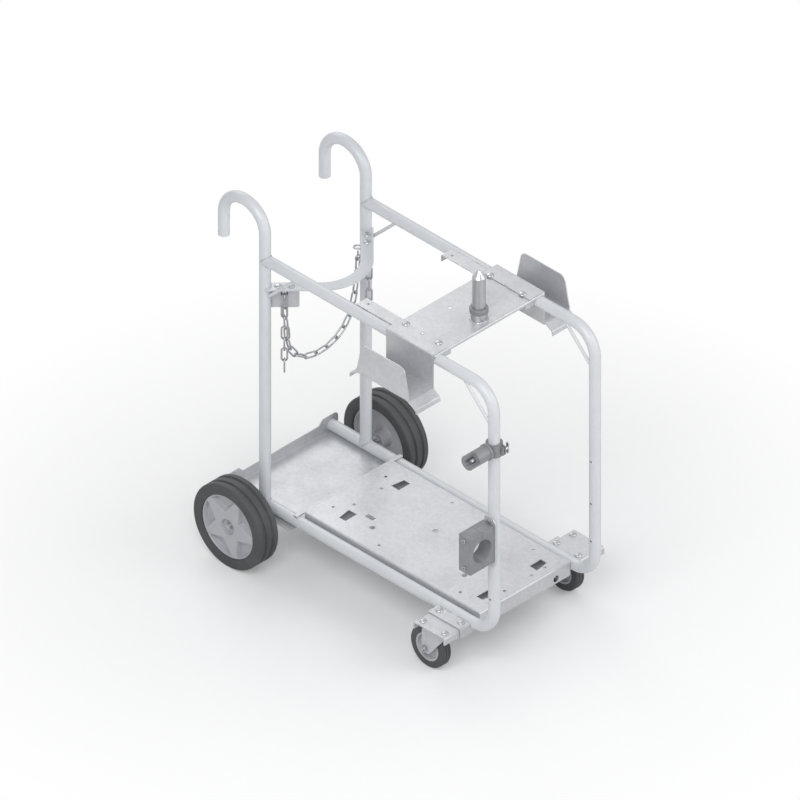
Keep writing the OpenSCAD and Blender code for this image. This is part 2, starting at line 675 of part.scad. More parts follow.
// Cable holder: a folded sheet with a top flange, side face, shelf, upright wing and end lips
holder_z = bridge_z + fitting_t + seam;
holder_rear = bridge_rear - 19;
holder_nose = bridge_front + 3;
face_y = tube_r + 1;
shelf_z = holder_z + fitting_t - holder_drop;
lip_run = 25;
lip_fall = 15;
lip_end = 13;
wing_taper = 19;
module holder_lip(x, dir) {
    w = fitting_t;
    across(-holder_out + 1, -face_y - 4) bent_sheet([
        [x - dir * 8, shelf_z], [x, shelf_z], [x + dir * lip_run, shelf_z - lip_fall],
        [x + dir * (lip_run + 2), shelf_z - lip_fall - lip_end]
    ], -dir * w, w + 1);
}
module cable_holder() difference() {
    union() {
        along(bridge_rear, bridge_front + 1) bent_sheet([
            [strip_in - 12, holder_z + fitting_t], [-face_y - fitting_t, holder_z + fitting_t],
            [-face_y - fitting_t, shelf_z - fitting_t - 1]
        ], fitting_t, fitting_t + 1.5);
        along(holder_rear, holder_nose) bent_sheet([
            [-face_y, shelf_z - fitting_t], [-holder_out, shelf_z - fitting_t], [-holder_out, shelf_z + 12]
        ], -fitting_t, fitting_t + 2);
        across(-holder_out, -holder_out + fitting_t) polygon(rounded([
            [holder_rear, shelf_z + 4, 0], [holder_nose, shelf_z + 4, 0],
            [holder_nose - wing_taper, shelf_z + wing_h, 20], [holder_rear + wing_taper, shelf_z + wing_h, 20]
        ]));
        holder_lip(holder_nose, 1);
        holder_lip(holder_rear, -1);
    }
    for (x = bolt_x) translate([x, bolt_in, 0]) bolt_hole(crown_top, crown_top + 12);
    translate([screw_x, bolt_in, 0]) rod_z(crown_top, crown_top + 12, screw_d / 2 + fit_gap / 2);
}
module cable_holder_right() color(zinc) place() right_side() cable_holder();
module cable_holder_left() color(zinc) place() left_side() cable_holder();
flange_z = holder_z + fitting_t + seam;
module holder_bolts() color(zinc) place() both_sides()
    for (x = bolt_x) translate([x, bolt_in, flange_z]) dome_bolt(20);
module holder_screws() color(zinc) place() both_sides() translate([screw_x, bolt_in, flange_z]) {
    rod_z(-9, 0.1, screw_d / 2);
    cylinder(r1 = 4.6, r2 = 3, h = 2.6, $fn = medium);
}

// Bottle cradle: a flat strip bent to a half round, its straight ends at 45 degrees
cradle_top = rail_z + cradle_rise;
cradle_low = cradle_top - cradle_t;
// Line of each straight end, measured square to it from the rear upright
end_w = -cradle_end;
cradle_mid = (side_y - cradle_fwd) / sqrt(2) - end_w;
cradle_r = cradle_mid - cradle_w / 2;
end_len = 90;
cradle_tangent = (side_y + cradle_fwd) / sqrt(2);
module end_frame() translate([0, -side_y, 0]) rotate([0, 0, 45]) children();
module cradle_ring_2d() difference() {
    translate([cradle_fwd, 0]) circle(cradle_r + cradle_w, $fn = 96);
    translate([cradle_fwd, 0]) circle(cradle_r, $fn = 96);
}
module front_sector_2d() translate([cradle_fwd, 0]) polygon([
    [0, 0], [200, -200], [300, -200], [300, 200], [200, 200]
]);
module cradle_end_2d() end_frame() translate([0, end_w - cradle_w / 2])
    square([cradle_tangent, cradle_w]);
module cradle_joint_2d() end_frame() translate([cradle_tangent - 2, end_w - cradle_w / 2 + 1])
    square([4, cradle_w - 2]);
cradle_bolt_at = [34.5, 67.8];
module at_cradle_bolts() for (d = cradle_bolt_at) end_frame() translate([d, end_w, 0]) children();
module bottle_cradle() color(steel) place() difference() {
    translate([0, 0, cradle_low]) linear_extrude(cradle_t) difference() {
        union() {
            intersection() { cradle_ring_2d(); front_sector_2d(); }
            for (s = [0, 1]) mirror([0, s]) {
                cradle_end_2d();
                cradle_joint_2d();
            }
        }
        for (s = [-1, 1]) translate([0, s * side_y]) circle(tube_r + seam, $fn = fine);
    }
    for (s = [0, 1]) mirror([0, s, 0]) at_cradle_bolts() bolt_hole(cradle_low - 1, cradle_top + 1);
}
// Bracket under each end of the cradle, with a slot in its rib that holds a chain link
leg_t2 = 3.5;
slot_w = link_w + 3;
slot_h = link_d + 2.2;
slot_at = 50.5;
slot_drop = 18.6;
// The rib hangs from the inner edge, and the flat leg clears the corner brace at the outer edge
rib_w = end_w + cradle_w / 2 - leg_t2 / 2;
leg_inset = 3.3;
module cradle_bracket() end_frame() difference() {
    union() {
        translate([0, end_w - cradle_w / 2 + leg_inset, cradle_low - seam - leg_t2])
            cube([end_len, cradle_w - leg_inset, leg_t2]);
        across(rib_w - leg_t2 / 2, rib_w + leg_t2 / 2) polygon(rounded([
            [0, cradle_low - seam - 1, 0], [0, cradle_top - cradle_leg, 0],
            [end_len, cradle_top - cradle_leg, 5], [end_len, cradle_low - seam - 1, 0]
        ]));
    }
    rod_z(cradle_low - tube_d * 3, cradle_top, tube_r + seam);
    translate([slot_at - slot_w / 2, -cradle_w, cradle_low - slot_drop - slot_h])
        cube([slot_w, 2 * cradle_w, slot_h]);
    for (d = cradle_bolt_at) translate([d, end_w, 0]) bolt_hole(cradle_low - 10, cradle_low + 1);
}
module cradle_brackets() color(zinc) place() for (s = [0, 1]) mirror([0, s, 0]) cradle_bracket();
module cradle_bolts() color(zinc) place() for (s = [0, 1]) mirror([0, s, 0])
    at_cradle_bolts() translate([0, 0, cradle_top + seam]) dome_bolt(18);

// All the nuts: under the castor plates, the rail strips and the cradle brackets
module flange_nuts() color(zinc) place() {
    both_sides() castor_place() plate_bolts() nut(castor_top - castor_plate_t - 2 * seam);
    both_sides() for (x = bolt_x) translate([x, bolt_in, 0]) nut(crown_top - fitting_t - seam);
    for (s = [0, 1]) mirror([0, s, 0]) at_cradle_bolts() nut(cradle_low - leg_t2 - 2 * seam);
}

// Chain: every link is a closed loop of round wire, and each next one is turned a quarter
link_gap = 0.5;
pitch = link_in - link_gap;
wire_r = link_d / 2;
loop_r = link_w / 2 - wire_r;
half_straight = link_in / 2 + wire_r - loop_r;
// One link in the XZ plane, its long axis on X
module link() {
    for (s = [-1, 1]) {
        translate([0, 0, s * loop_r]) rotate([0, 90, 0]) cylinder(r = wire_r, h = 2 * half_straight, center = true, $fn = 16);
        translate([s * half_straight, 0, 0]) rotate([90, 0, 0]) rotate([0, 0, -90 * s])
            rotate_extrude(angle = 180, $fn = 32) translate([loop_r, 0]) circle(wire_r, $fn = 16);
    }
}
// A link that hangs straight down, its upper wire's centre on the origin
module hanging_link(turn) rotate([0, 0, turn]) translate([0, 0, -link_in / 2 - wire_r]) rotate([0, 90, 0]) link();

link_z = cradle_low - slot_drop - slot_h + wire_r + fit_gap;
hold = (link_in + link_d) / 2;
module at_slot() end_frame() translate([slot_at, rib_w, link_z]) children();
module anchor_link() at_slot() rotate([0, 0, 90]) rotate([90, 0, 0]) link();
module anchor_links() color(zinc) place() { anchor_link(); mirror([0, 1, 0]) anchor_link(); }

// A straight run of links that hangs over the end wire of an anchor link
hang_z = link_d + link_gap;
module hanging_chain(count, turn) for (i = [0:count - 1])
    translate([0, 0, hang_z - i * (pitch + 0)]) hanging_link(turn + 90 * (i % 2));
tail_links = 7;
spare_links = 6;
module chain_tail() color(zinc) place() at_slot() translate([0, -hold, 0]) hanging_chain(tail_links, 90);
module chain_spare() color(zinc) place() mirror([0, 1, 0]) at_slot() translate([0, -hold, 0])
    hanging_chain(spare_links, 90);

// The run between the bracket and the eye: the links' lean from upright, from end to end,
// and a factor that spreads the links to the span
run_angles = [-90, -89, -85, -85, -86, -77, -55, -30, -6, 13, 30, 45, 61, 73, 78, 82, 84, 87];
links = len(run_angles);
function lean(i, k) = let (a = run_angles[i], b = min(90, k * (90 - abs(a)))) a < 0 ? b - 90 : 90 - b;
function run_y(i, k) = i == 0 ? 0 : run_y(i - 1, k) + pitch * cos(lean(i - 1, k));
function run_z(i, k) = i == 0 ? 0 : run_z(i - 1, k) + pitch * sin(lean(i - 1, k));
function spread(span, lo = 0.3, hi = 2, n = 24) = let (mid = (lo + hi) / 2)
    n == 0 ? mid : (run_y(links, mid) > span ? spread(span, lo, mid, n - 1) : spread(span, mid, hi, n - 1));
touch = (link_d + link_gap) / 2;
start_d = [slot_at, rib_w + hold];
start_x = (start_d.x - start_d.y) / sqrt(2);
start_y = -side_y + (start_d.x + start_d.y) / sqrt(2);
start_z = link_z + touch;
// Place of the eye beside the far bracket's end
eye_d = [end_len + 10, rib_w + 8.8];
eye_x = (eye_d.x - eye_d.y) / sqrt(2);
eye_y = side_y - (eye_d.x + eye_d.y) / sqrt(2);
span = norm([eye_x - start_x, eye_y - start_y]);
run_k = spread(span);
run_turn = atan2(eye_y - start_y, eye_x - start_x);
// The first links turn step by step from the anchor link's line to the line of the run
turn_links = 3;
function run_twist(i) = (run_turn - 135) * max(0, 1 - i / turn_links);
module chain_run() color(zinc) place() translate([start_x, start_y, start_z]) rotate([0, 0, run_turn])
    for (i = [0:links - 1]) translate([run_y(i, run_k), 0, run_z(i, run_k)]) rotate([0, -lean(i, run_k), 0])
        rotate([90 * (i % 2) + run_twist(i), 0, 0]) translate([pitch / 2, 0, 0]) link();

// The eye under the cradle that holds the far end of the run
eye_r = 7;
module chain_eye() color(zinc) place() translate([start_x, start_y, start_z]) rotate([0, 0, run_turn])
    translate([span, 0, run_z(links, run_k) + eye_r - touch]) {
        rotate([90, 0, 0]) rotate_extrude($fn = 32) translate([eye_r, 0]) circle(wire_r, $fn = 16);
        rod_z(eye_r, cradle_low - seam - start_z - run_z(links, run_k) - eye_r + touch, wire_r);
    }

// Cable clamp on the right front upright: a back plate and a block split at the hole
clamp_x = clamp_front - clamp_l / 2 - 3;
clamp_rise = 250;
plate_peak = 385;
plate_shoulder = 372;
plate_foot = 228;
clamp_low = rail_z + clamp_rise;
plate_y = -tube_r - seam;
clamp_plate_t = 3;
block_y = plate_y - clamp_plate_t - seam;
split_y = block_y - clamp_w / 2;
hole_z = clamp_low + clamp_h / 2;
tab_w = 24;
screw_r = 4;
clamp_screw_z = [15, clamp_h - 15];
module clamp_back_plate() color(zinc) place() right_side() difference() {
    across(plate_y - clamp_plate_t, plate_y) polygon(rounded([
        [clamp_x - clamp_l / 2 - 3, clamp_low, 3], [clamp_x - clamp_l / 2 - 3, clamp_low + clamp_h, 3],
        [frame_l - tab_w / 2 - 6, clamp_low + clamp_h, 0], [frame_l - tab_w / 2 - 6, rail_z + plate_peak, 6],
        [frame_l + tab_w / 2, rail_z + plate_peak, 10], [clamp_x + clamp_l / 2 + 3, rail_z + plate_shoulder, 6],
        [clamp_x + clamp_l / 2 + 3, clamp_low, 5], [frame_l + tab_w / 2, rail_z + plate_foot, 8],
        [frame_l - tab_w / 2, rail_z + plate_foot, 8], [frame_l - tab_w / 2, clamp_low, 0]
    ]));
    for (z = [upright_holes[1], upright_holes[2]]) translate([0, 0, 0]) upright_hole(rail_z + z);
}
module clamp_half(y0, y1) difference() {
    translate([clamp_x - clamp_l / 2, y0, clamp_low]) cube([clamp_l, y1 - y0, clamp_h]);
    translate([0, split_y, hole_z]) rod_x(clamp_x - clamp_l, clamp_x + clamp_l, cable_d / 2);
    for (z = clamp_screw_z) translate([clamp_x, 0, clamp_low + z]) rod_y(y0 - 1, y1 + 1, screw_r + fit_gap / 2);
}
module clamp_inner_half() color(black) place() right_side() clamp_half(split_y + seam / 2, block_y);
module clamp_outer_half() color(black) place() right_side() clamp_half(block_y - clamp_w, split_y - seam / 2);
module clamp_screws() color(zinc) place() right_side() for (z = clamp_screw_z)
    translate([clamp_x, block_y - clamp_w - seam, clamp_low + z]) {
        rod_y(0, clamp_w - 2, screw_r);
        difference() {
            rod_y(-3.5, 0.1, 6.5);
            rotate([90, 0, 0]) cylinder(r = 3, h = 8, $fn = 6);
        }
    }
module clamp_fixings() color(zinc) place() right_side() for (z = [upright_holes[1], upright_holes[2]])
    translate([frame_l, plate_y - clamp_plate_t - seam, rail_z + z]) {
        rod_y(0, tube_d, upright_hole_d / 2 - fit_gap / 2);
        rod_y(-4, 0.1, 6);
    }

// Torch rest: a split ring on the upright and a round arm with an open pocket at its end
rest_z = rail_z + rest_rise;
arm_r = 21.4;
flange_t = 7;
arm_y0 = -ring_d / 2 - 2;
pocket_l = 25.5;
pocket_in = 3;
rest_bolt_d = 8;
bolt_y = -rest_reach + pocket_l;
wing_y = ring_d / 2 + 0.6;
module rest_place() translate([frame_l, 0, rest_z]) children();
module rest_ring() color(black) place() right_side() rest_place() difference() {
    union() {
        rod_z(-ring_h / 2, ring_h / 2, ring_d / 2);
        translate([tube_r, 2, -ring_h / 2 + 6]) cube([ring_ear, 12, ring_h - 12]);
        rod_y(-ring_d / 2 - 1, -tube_r - 2, 15);
    }
    rod_z(-ring_h, ring_h, tube_r + seam / 2);
    translate([0, 6.5, -ring_h]) cube([ring_d, 3, 2 * ring_h]);
    translate([tube_r + ring_ear - 6, 0, 0]) rod_y(0, 20, 3 + fit_gap / 2);
    rod_y(-ring_d, -tube_r - 1, rest_bolt_d / 2 + run_gap);
}
module rest_wing_screw() color(zinc) place() right_side() rest_place() translate([tube_r + ring_ear - 6, 0, 0]) {
    rod_y(1, wing_y + 3, 3);
    rod_y(14 + seam, wing_y + 0.5, 4.6);
    across(wing_y, wing_y + 3.6) polygon(rounded([
        [-4, -17, 3], [4, -17, 3], [2.9, 0, 0], [4, 17, 3], [-4, 17, 3], [-2.9, 0, 0]
    ]));
}
module rest_arm() color(black) place() right_side() rest_place() difference() {
    union() {
        rod_y(-rest_reach, arm_y0, arm_r);
        rod_y(arm_y0 - flange_t, arm_y0, knob_d / 2);
    }
    translate([-pocket_in, -rest_reach - 1, -pocket_in]) cube([2 * arm_r, pocket_l + 1, 2 * arm_r]);
    rod_y(-rest_reach - 1, bolt_y, nut_af / 2 + 2.5);
    rod_y(bolt_y - 1, arm_y0 + 1, rest_bolt_d / 2 + fit_gap / 2);
}
module rest_bolt() color(zinc) place() right_side() rest_place() {
    rod_y(bolt_y - 1, -tube_r - 2, rest_bolt_d / 2);
    translate([0, bolt_y - seam, 0]) rotate([90, 0, 0]) cylinder(d = nut_af / cos(30), h = 14, $fn = 6);
}

side_tube_right();
side_tube_left();
rear_upright_right();
rear_upright_left();
corner_braces();
deck();
deck_stop_bar();
deck_bearers();
bottle_tray();
axle();
axle_washers();
axle_clips();
rear_tyre_right();
rear_rim_right();
rear_tyre_left();
rear_rim_left();
castor_bracket_right();
castor_bracket_left();
castor_strips();
castor_plate_right();
castor_plate_left();
kingpins();
castor_bolts();
flange_nuts();
castor_fork_right();
castor_axle_right();
castor_tyre_right();
castor_hub_right();
castor_fork_left();
castor_axle_left();
castor_tyre_left();
castor_hub_left();
rail_strips();
bridge_plate();
pivot_boss();
pivot_collar();
feeder_pin();
cable_holder_right();
cable_holder_left();
holder_bolts();
holder_screws();
bottle_cradle();
cradle_brackets();
cradle_bolts();
chain_eye();
anchor_links();
chain_run();
chain_tail();
chain_spare();
clamp_back_plate();
clamp_inner_half();
clamp_outer_half();
clamp_screws();
clamp_fixings();
rest_ring();
rest_wing_screw();
rest_arm();
rest_bolt();
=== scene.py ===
"""Finishes and fine parts of a wire feeder trolley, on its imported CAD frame."""

import json
import math

import bmesh
import bpy
from bpy.props import FloatProperty, FloatVectorProperty, PointerProperty
from mathutils import Matrix, Vector

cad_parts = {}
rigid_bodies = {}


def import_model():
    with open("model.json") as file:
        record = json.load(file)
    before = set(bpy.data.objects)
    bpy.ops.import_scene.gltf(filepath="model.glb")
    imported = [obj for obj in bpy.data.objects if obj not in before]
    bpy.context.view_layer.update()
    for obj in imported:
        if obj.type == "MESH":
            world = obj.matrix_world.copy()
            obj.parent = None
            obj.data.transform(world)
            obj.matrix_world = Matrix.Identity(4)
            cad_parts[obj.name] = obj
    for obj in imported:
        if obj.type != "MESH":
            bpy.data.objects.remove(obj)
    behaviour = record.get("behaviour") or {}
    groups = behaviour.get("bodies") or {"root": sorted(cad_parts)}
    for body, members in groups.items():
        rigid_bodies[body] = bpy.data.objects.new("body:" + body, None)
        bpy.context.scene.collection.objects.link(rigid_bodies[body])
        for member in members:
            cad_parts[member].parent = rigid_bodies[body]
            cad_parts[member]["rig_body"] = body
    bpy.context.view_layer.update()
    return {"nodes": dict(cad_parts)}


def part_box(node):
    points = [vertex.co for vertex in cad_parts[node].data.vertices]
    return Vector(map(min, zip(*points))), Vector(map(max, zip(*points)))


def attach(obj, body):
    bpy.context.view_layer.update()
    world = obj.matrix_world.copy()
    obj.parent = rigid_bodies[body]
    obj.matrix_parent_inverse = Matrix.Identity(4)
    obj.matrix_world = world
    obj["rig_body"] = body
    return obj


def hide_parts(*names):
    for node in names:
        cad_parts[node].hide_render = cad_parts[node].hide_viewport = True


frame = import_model()

bl_info = {
    "name": "Wire Feeder Trolley",
    "version": (1, 0, 0),
    "blender": (4, 5, 0),
    "location": "View3D > Sidebar > Trolley",
    "description": "Finishes, welds and fine parts of the trolley",
    "category": "Object",
}

# Sizes of the tubes and the brace rods, as in the CAD, in metres
TUBE_R = 0.016
BRACE_R = 0.00475
BRACE_REACH = 0.126

# Places that the fine parts take from the frame, in metres
UPRIGHT_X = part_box("rear_upright_right")[1].x - TUBE_R
SIDE_Y = (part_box("side_tube_left")[0].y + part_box("side_tube_left")[1].y) / 2
RAIL_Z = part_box("side_tube_left")[0].z + TUBE_R
TOP_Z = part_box("side_tube_left")[1].z - TUBE_R
FRONT_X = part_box("side_tube_left")[1].x - TUBE_R
X, Z = Vector((1, 0, 0)), Vector((0, 0, 1))


def colour_prop(name, description, default):
    return FloatVectorProperty(name=name, description=description, default=default, subtype="COLOR",
                               min=0, max=1)


def length_prop(name, description, default):
    return FloatProperty(name=name, description=description, default=default, min=0, unit="LENGTH",
                         subtype="DISTANCE", precision=5)


class TrolleyFinish(bpy.types.PropertyGroup):
    frame_paint: colour_prop("Frame paint", "Powder coat on the tubes, braces and cradle",
                             (0.60, 0.62, 0.64))
    zinc: colour_prop("Zinc", "Plated sheet and fasteners", (0.54, 0.55, 0.57))
    chain: colour_prop("Chain", "Chain links", (0.40, 0.41, 0.43))
    tyre: colour_prop("Tyre", "Rubber of the four wheels", (0.055, 0.056, 0.06))
    rim: colour_prop("Rim", "Moulded rims and castor hubs", (0.42, 0.43, 0.45))
    moulding: colour_prop("Moulding", "Cable clamp, torch rest and end caps", (0.20, 0.205, 0.215))


class TrolleyDetail(bpy.types.PropertyGroup):
    weld: length_prop("Weld", "Radius of the weld beads on the tubes", 0.0026)
    brace_weld: length_prop("Brace weld", "Radius of the weld beads on the brace rods", 0.0017)
    edge: length_prop("Edge", "Width of the broken edge on sheet and blocks", 0.0008)
    cap_dome: length_prop("Cap dome", "Rise of the end caps in the hooks", 0.0016)


class TrolleyStage(bpy.types.PropertyGroup):
    key_power: FloatProperty(name="Key", description="Power of the large lamp", default=95, min=0,
                             unit="POWER")
    fill_power: FloatProperty(name="Fill", description="Power of the side lamp", default=42, min=0,
                              unit="POWER")
    floor: colour_prop("Floor", "Colour of the floor", (0.86, 0.86, 0.86))


# Shader helpers


class Shader:
    """A material's or group's node tree with short calls to fill it."""

    def __init__(self, tree):
        self.tree = tree

    def add(self, kind, **values):
        node = self.tree.nodes.new(kind)
        for key, value in values.items():
            setattr(node, key, value)
        return node

    def link(self, source, target):
        self.tree.links.new(source, target)

    def maths(self, operation, a, b):
        node = self.add("ShaderNodeMath", operation=operation)
        for socket, value in zip(node.inputs, (a, b)):
            if isinstance(value, (int, float)):
                socket.default_value = value
            else:
                self.link(value, socket)
        return node.outputs[0]

    def noise(self, scale, detail, rough):
        node = self.add("ShaderNodeTexNoise")
        for name, value in (("Scale", scale), ("Detail", detail), ("Roughness", rough)):
            if isinstance(value, (int, float)):
                node.inputs[name].default_value = value
            else:
                self.link(value, node.inputs[name])
        place = self.add("ShaderNodeTexCoord").outputs["Object"]
        self.link(place, node.inputs["Vector"])
        return node.outputs["Fac"]

    def spread(self, value, low, high, to_low=0.0, to_high=1.0):
        node = self.add("ShaderNodeMapRange")
        self.link(value, node.inputs["Value"])
        ends = (("From Min", low), ("From Max", high), ("To Min", to_low), ("To Max", to_high))
        for name, number in ends:
            if isinstance(number, (int, float)):
                node.inputs[name].default_value = number
            else:
                self.link(number, node.inputs[name])
        return node.outputs["Result"]

    def mix(self, mask, a, b):
        node = self.add("ShaderNodeMix", data_type="RGBA")
        self.link(mask, node.inputs["Factor"])
        # The colour mix's sockets A, B and Result have the numbers 6, 7 and 2
        colours = (node.inputs[6], a), (node.inputs[7], b)
        for socket, value in colours:
            if isinstance(value, tuple):
                socket.default_value = value
            else:
                self.link(value, socket)
        return node.outputs[2]


def shader_group(name, inputs, outputs):
    """A shared node group with named sockets."""
    tree = bpy.data.node_groups.new(name, "ShaderNodeTree")
    for label, kind, default in inputs:
        socket = tree.interface.new_socket(label, in_out="INPUT", socket_type=kind)
        socket.default_value = default
    for label, kind in outputs:
        tree.interface.new_socket(label, in_out="OUTPUT", socket_type=kind)
    shader = Shader(tree)
    return shader, shader.add("NodeGroupInput").outputs, shader.add("NodeGroupOutput").inputs


FLOAT, COLOUR = "NodeSocketFloat", "NodeSocketColor"


def worn_finish_group():
    """A finish with duller, scuffed patches: gives colour, roughness and a fine surface height."""
    shader, got, out = shader_group(
        "worn_finish",
        [("Colour", COLOUR, (0.5, 0.5, 0.5, 1)), ("Worn Colour", COLOUR, (0.4, 0.4, 0.4, 1)),
         ("Patch Scale", FLOAT, 9.0), ("Amount", FLOAT, 0.5), ("Gloss", FLOAT, 0.4),
         ("Worn Gloss", FLOAT, 0.6), ("Grain Scale", FLOAT, 900.0)],
        [("Colour", COLOUR), ("Roughness", FLOAT), ("Height", FLOAT)],
    )
    scuffs_per_patch = 14.0
    patch_share = 0.75
    wear_from, wear_to = 0.47, 0.66
    patches = shader.noise(got["Patch Scale"], 5.0, 0.62)
    scuffs = shader.noise(shader.maths("MULTIPLY", got["Patch Scale"], scuffs_per_patch), 2.0, 0.5)
    large = shader.maths("MULTIPLY", patches, patch_share)
    small = shader.maths("MULTIPLY", scuffs, 1 - patch_share)
    mask = shader.spread(shader.maths("ADD", large, small), wear_from, wear_to)
    mask = shader.maths("MULTIPLY", mask, got["Amount"])
    shader.link(shader.mix(mask, got["Colour"], got["Worn Colour"]), out["Colour"])
    shader.link(shader.spread(mask, 0.0, 1.0, got["Gloss"], got["Worn Gloss"]), out["Roughness"])
    shader.link(shader.noise(got["Grain Scale"], 2.0, 0.5), out["Height"])
    return shader.tree


def spangle_group():
    """The soft crystal pattern of zinc plating, as a mask."""
    shader, got, out = shader_group(
        "zinc_spangle", [("Scale", FLOAT, 120.0), ("Contrast", FLOAT, 0.2)], [("Mask", FLOAT)]
    )
    cells = shader.add("ShaderNodeTexVoronoi", feature="F1")
    place = shader.add("ShaderNodeTexCoord").outputs["Object"]
    shader.link(place, cells.inputs["Vector"])
    shader.link(got["Scale"], cells.inputs["Scale"])
    grey = shader.add("ShaderNodeSeparateColor")
    shader.link(cells.outputs["Color"], grey.inputs["Color"])
    shader.link(shader.maths("MULTIPLY", grey.outputs[0], got["Contrast"]), out["Mask"])
    return shader.tree


groups = {}


def place_group(shader, name, **values):
    """Puts a shared group in a material with its own values."""
    if name not in groups:
        groups[name] = {"worn_finish": worn_finish_group, "zinc_spangle": spangle_group}[name]()
    node = shader.add("ShaderNodeGroup", node_tree=groups[name])
    for label, value in values.items():
        node.inputs[label.replace("_", " ")].default_value = value
    return node


materials = {}


def opaque(colour, k=1.0):
    """A colour with full alpha, made lighter or darker by a factor."""
    return tuple(min(1.0, c * k) for c in colour) + (1.0,)


def darker(colour, k):
    """A colour times a factor below 1."""
    return tuple(c * k for c in colour)


# Values that all the finishes share
COAT_ROUGHNESS = 0.25
CRYSTAL_SCALE = 120.0
CRYSTAL_SHADE = 0.6
RING_WOBBLE = 0.4
GRAIN_HEIGHT = 0.0004


def finish(name, colour, worn, amount, gloss, worn_gloss, patch, grain, bump,
           metal=0.0, coat=0.0, spangle=0.0, rings=0.0):
    """A worn, slightly uneven finish on the Principled shader."""
    if name in materials:
        return materials[name]
    material = bpy.data.materials.new(name)
    material.use_nodes = True
    shader = Shader(material.node_tree)
    principled = material.node_tree.nodes["Principled BSDF"]
    principled.inputs["Metallic"].default_value = metal
    principled.inputs["Coat Weight"].default_value = coat
    principled.inputs["Coat Roughness"].default_value = COAT_ROUGHNESS
    surface = place_group(shader, "worn_finish", Colour=opaque(colour), Worn_Colour=opaque(colour, worn),
                          Patch_Scale=patch, Amount=amount, Gloss=gloss, Worn_Gloss=worn_gloss,
                          Grain_Scale=grain)
    shown = surface.outputs["Colour"]
    height = surface.outputs["Height"]
    if spangle:
        crystals = place_group(shader, "zinc_spangle", Scale=CRYSTAL_SCALE, Contrast=spangle)
        shown = shader.mix(crystals.outputs["Mask"], shown, opaque(colour, CRYSTAL_SHADE))
    if rings:
        place = shader.add("ShaderNodeTexCoord").outputs["Object"]
        wave = shader.add("ShaderNodeTexWave", wave_type="BANDS", bands_direction="Z")
        wave.inputs["Scale"].default_value = rings
        wave.inputs["Distortion"].default_value = RING_WOBBLE
        shader.link(place, wave.inputs["Vector"])
        height = shader.maths("ADD", height, wave.outputs["Fac"])
    shader.link(shown, principled.inputs["Base Color"])
    shader.link(surface.outputs["Roughness"], principled.inputs["Roughness"])
    relief = shader.add("ShaderNodeBump")
    relief.inputs["Strength"].default_value = bump
    relief.inputs["Distance"].default_value = GRAIN_HEIGHT
    shader.link(height, relief.inputs["Height"])
    shader.link(relief.outputs["Normal"], principled.inputs["Normal"])
    materials[name] = material
    return material


def paint():
    colour = tuple(bpy.context.scene.trolley_finish.frame_paint)
    return finish("frame_powder_coat", colour, worn=0.9, amount=0.55, gloss=0.36, worn_gloss=0.5,
                  patch=6, grain=520, bump=0.16, coat=0.15)


def zinc_sheet():
    colour = tuple(bpy.context.scene.trolley_finish.zinc)
    return finish("zinc_sheet", colour, worn=0.84, amount=0.6, gloss=0.4, worn_gloss=0.56,
                  patch=7, grain=700, bump=0.08, metal=0.4, spangle=0.22)


def zinc_fastener():
    colour = tuple(bpy.context.scene.trolley_finish.zinc)
    return finish("zinc_fastener", darker(colour, 0.82), worn=0.7, amount=0.7, gloss=0.34,
                  worn_gloss=0.5, patch=60, grain=1500, bump=0.1, metal=0.9)


def turned_steel():
    colour = tuple(bpy.context.scene.trolley_finish.zinc)
    return finish("turned_steel", darker(colour, 0.85), worn=0.8, amount=0.5, gloss=0.32,
                  worn_gloss=0.46, patch=20, grain=1400, bump=0.12, metal=0.9, rings=260)


def chain_steel():
    colour = tuple(bpy.context.scene.trolley_finish.chain)
    return finish("chain_steel", colour, worn=0.6, amount=0.8, gloss=0.4, worn_gloss=0.6,
                  patch=90, grain=1600, bump=0.14, metal=0.75)


def weld_steel():
    colour = darker(bpy.context.scene.trolley_finish.frame_paint, 0.8)
    return finish("painted_weld", colour, worn=0.75, amount=0.8, gloss=0.4, worn_gloss=0.6,
                  patch=120, grain=900, bump=0.3)


def tyre_rubber():
    colour = tuple(bpy.context.scene.trolley_finish.tyre)
    return finish("tyre_rubber", colour, worn=1.9, amount=0.55, gloss=0.62, worn_gloss=0.85,
                  patch=18, grain=650, bump=0.3)


def rim_moulding():
    colour = tuple(bpy.context.scene.trolley_finish.rim)
    return finish("rim_moulding", colour, worn=0.86, amount=0.5, gloss=0.38, worn_gloss=0.55,
                  patch=14, grain=800, bump=0.12)


def dark_moulding():
    colour = tuple(bpy.context.scene.trolley_finish.moulding)
    return finish("dark_moulding", colour, worn=1.5, amount=0.45, gloss=0.4, worn_gloss=0.62,
                  patch=25, grain=1100, bump=0.22)


# Mesh helpers


def body_of(node):
    """The name of the body that a CAD node rides on."""
    return frame["nodes"][node]["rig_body"]


def coat(nodes, material):
    """Puts a finish on CAD nodes."""
    for name in nodes:
        slots = frame["nodes"][name].data.materials
        slots.clear()
        slots.append(material)


def add_piece(name, mesh, material, body, replaced=(), smooth_angle=40):
    """A new object that rides on a body and takes its finish from a slot."""
    piece = bpy.data.objects.new(name, mesh)
    bpy.context.scene.collection.objects.link(piece)
    mesh.materials.clear()
    mesh.materials.append(material)
    for face in mesh.polygons:
        face.use_smooth = True
    mesh.set_sharp_from_angle(angle=math.radians(smooth_angle))
    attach(piece, body)
    if replaced:
        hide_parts(*replaced)
    return piece


def new_mesh(name, points, faces):
    mesh = bpy.data.meshes.new(name)
    mesh.from_pydata([tuple(p) for p in points], [], faces)
    mesh.update()
    return mesh


def joined(name, parts):
    """One mesh from several lists of points and faces."""
    points, faces = [], []
    for part_points, part_faces in parts:
        start = len(points)
        points += part_points
        faces += [tuple(i + start for i in face) for face in part_faces]
    return new_mesh(name, points, faces)


